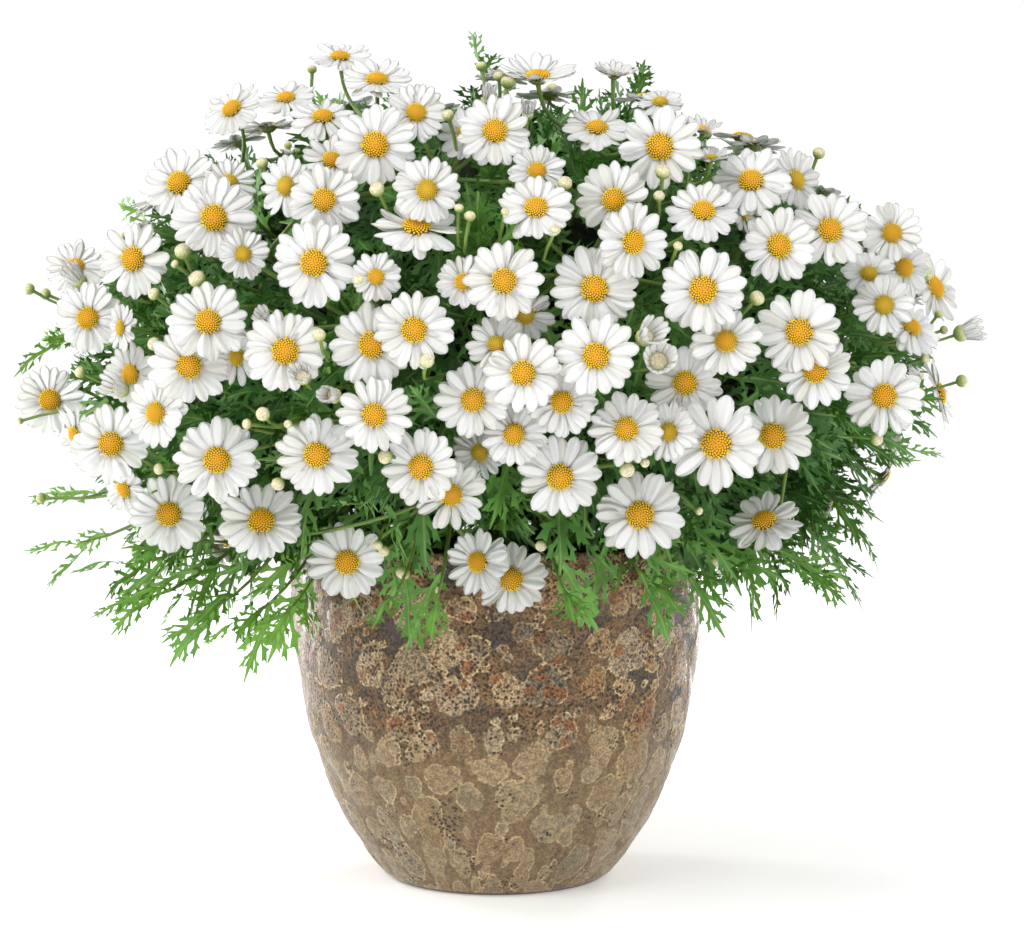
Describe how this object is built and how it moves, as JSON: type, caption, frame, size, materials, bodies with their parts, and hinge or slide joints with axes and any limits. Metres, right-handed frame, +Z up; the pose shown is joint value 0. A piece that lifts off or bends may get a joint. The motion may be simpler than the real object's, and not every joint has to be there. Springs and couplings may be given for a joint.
{
  "type": "potted marguerite daisy",
  "caption": "Full round marguerite daisy bush with white blooms and cut green leaves, growing in a bellied glazed stoneware pot that stands on its flat foot.",
  "frame": {"origin": "centre of the pot's flat foot, on the surface that the pot stands on", "axes": "+Z up along the pot's axis, -Y towards the side that the reference picture shows, +X to that view's right"},
  "size_m": [0.6126, 0.5827, 0.5378],
  "materials": {
    "pot_glaze": "gloss",
    "potting_soil": "matte",
    "bark": "matte",
    "leaf": "satin",
    "bloom": "matte"
  },
  "bodies": {
    "root": {"pot": "pot_glaze", "soil": "potting_soil", "woody_stem": "bark", "foliage": "leaf", "bloom_spray_01": "bloom", "bloom_spray_02": "bloom", "bloom_spray_03": "bloom", "bloom_spray_04": "bloom", "bloom_spray_05": "bloom", "bloom_spray_06": "bloom", "bloom_spray_07": "bloom", "bloom_spray_08": "bloom", "bloom_spray_09": "bloom", "bloom_spray_10": "bloom", "bloom_spray_11": "bloom", "bloom_spray_12": "bloom", "bloom_spray_13": "bloom", "bloom_spray_14": "bloom", "bloom_spray_15": "bloom", "bloom_spray_16": "bloom", "bloom_spray_17": "bloom", "bloom_spray_18": "bloom", "bloom_spray_19": "bloom", "bloom_spray_20": "bloom", "bloom_spray_21": "bloom", "bloom_spray_22": "bloom", "bloom_spray_23": "bloom", "bloom_spray_24": "bloom", "bloom_spray_25": "bloom", "bloom_spray_26": "bloom", "bloom_spray_27": "bloom", "bloom_spray_28": "bloom", "bloom_spray_29": "bloom", "bloom_spray_30": "bloom", "bloom_spray_31": "bloom", "bloom_spray_32": "bloom", "bloom_spray_33": "bloom", "bloom_spray_34": "bloom", "bloom_spray_35": "bloom", "bloom_spray_36": "bloom", "bloom_spray_37": "bloom", "bloom_spray_38": "bloom", "bloom_spray_39": "bloom", "bloom_spray_40": "bloom", "bloom_spray_41": "bloom", "bloom_spray_42": "bloom", "bloom_spray_43": "bloom", "bloom_spray_44": "bloom", "bloom_spray_45": "bloom", "bloom_spray_46": "bloom", "bloom_spray_47": "bloom", "bloom_spray_48": "bloom", "bloom_spray_49": "bloom", "bloom_spray_50": "bloom", "bloom_spray_51": "bloom", "bloom_spray_52": "bloom"}
  },
  "joints": []
}
